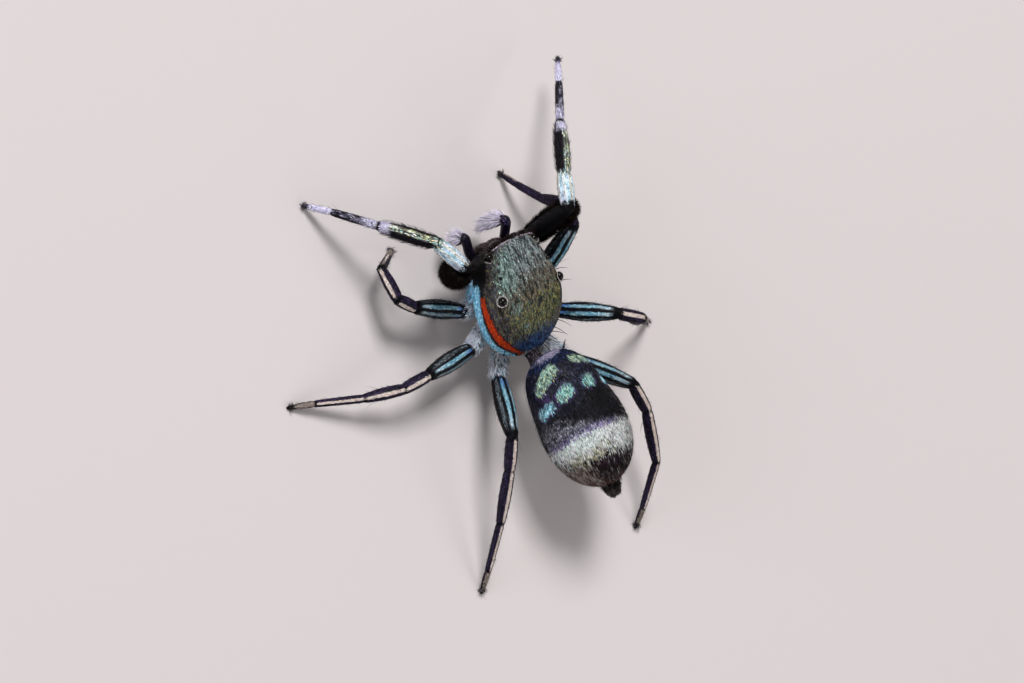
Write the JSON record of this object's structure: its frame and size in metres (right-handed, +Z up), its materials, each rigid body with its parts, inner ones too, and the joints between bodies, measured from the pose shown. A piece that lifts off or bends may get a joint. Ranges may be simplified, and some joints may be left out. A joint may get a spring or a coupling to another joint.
{
  "type": "jumping spider model",
  "caption": "Life-size still model of a male jumping spider standing on its feet with one front leg raised.",
  "frame": {"origin": "the point on the floor under the middle of the spider's box", "axes": "+Z up, +Y the way the spider faces, +X to its right"},
  "size_m": [0.0092, 0.0096, 0.0024],
  "materials": {
    "carapace": "fine iridescent teal to gold-green scales over dark cuticle",
    "eye": "clear glossy black lens",
    "abdomen": "black velvet of flat hairs with turquoise spots and a silver-green band",
    "jaw": "brown-black cuticle with sparse hairs",
    "sternum": "dark cuticle with short pale hairs",
    "coxa": "pale teal-white hairs over dark cuticle",
    "femur": "black cuticle with turquoise and blue scale stripes",
    "patella": "iridescent white-green scales or a cream stripe on violet-black",
    "tibia": "violet-black cuticle with a pale or iridescent stripe",
    "foot": "cream and black cuticle with a dark claw tuft",
    "palp": "violet-black cuticle with a lilac-white hair tuft"
  },
  "bodies": {
    "root": {"carapace": "carapace", "abdomen": "abdomen", "spinnerets": "jaw", "sternum": "sternum", "mouthparts": "sternum", "chelicera_left": "jaw", "palp_left_upper": "palp", "palp_left_lower": "palp", "eye_front_middle_left": "eye", "eye_front_side_left": "eye", "eye_rear_middle_left": "eye", "eye_rear_side_left": "eye", "chelicera_right": "jaw", "palp_right_upper": "palp", "palp_right_lower": "palp", "eye_front_middle_right": "eye", "eye_front_side_right": "eye", "eye_rear_middle_right": "eye", "eye_rear_side_right": "eye", "leg_1_left_coxa": "coxa", "leg_1_left_femur": "femur", "leg_1_left_patella": "patella", "leg_1_left_tibia": "tibia", "leg_1_left_foot": "foot", "leg_1_right_coxa": "coxa", "leg_1_right_femur": "femur", "leg_1_right_patella": "patella", "leg_1_right_tibia": "tibia", "leg_1_right_foot": "foot", "leg_2_left_coxa": "coxa", "leg_2_left_femur": "femur", "leg_2_left_patella": "patella", "leg_2_left_tibia": "tibia", "leg_2_left_foot": "foot", "leg_2_right_coxa": "coxa", "leg_2_right_femur": "femur", "leg_2_right_patella": "patella", "leg_2_right_tibia": "tibia", "leg_2_right_foot": "foot", "leg_3_left_coxa": "coxa", "leg_3_left_femur": "femur", "leg_3_left_patella": "patella", "leg_3_left_tibia": "tibia", "leg_3_left_foot": "foot", "leg_3_right_coxa": "coxa", "leg_3_right_femur": "femur", "leg_3_right_patella": "patella", "leg_3_right_tibia": "tibia", "leg_3_right_foot": "foot", "leg_4_left_coxa": "coxa", "leg_4_left_femur": "femur", "leg_4_left_patella": "patella", "leg_4_left_tibia": "tibia", "leg_4_left_foot": "foot", "leg_4_right_coxa": "coxa", "leg_4_right_femur": "femur", "leg_4_right_patella": "patella", "leg_4_right_tibia": "tibia", "leg_4_right_foot": "foot"}
  },
  "joints": []
}
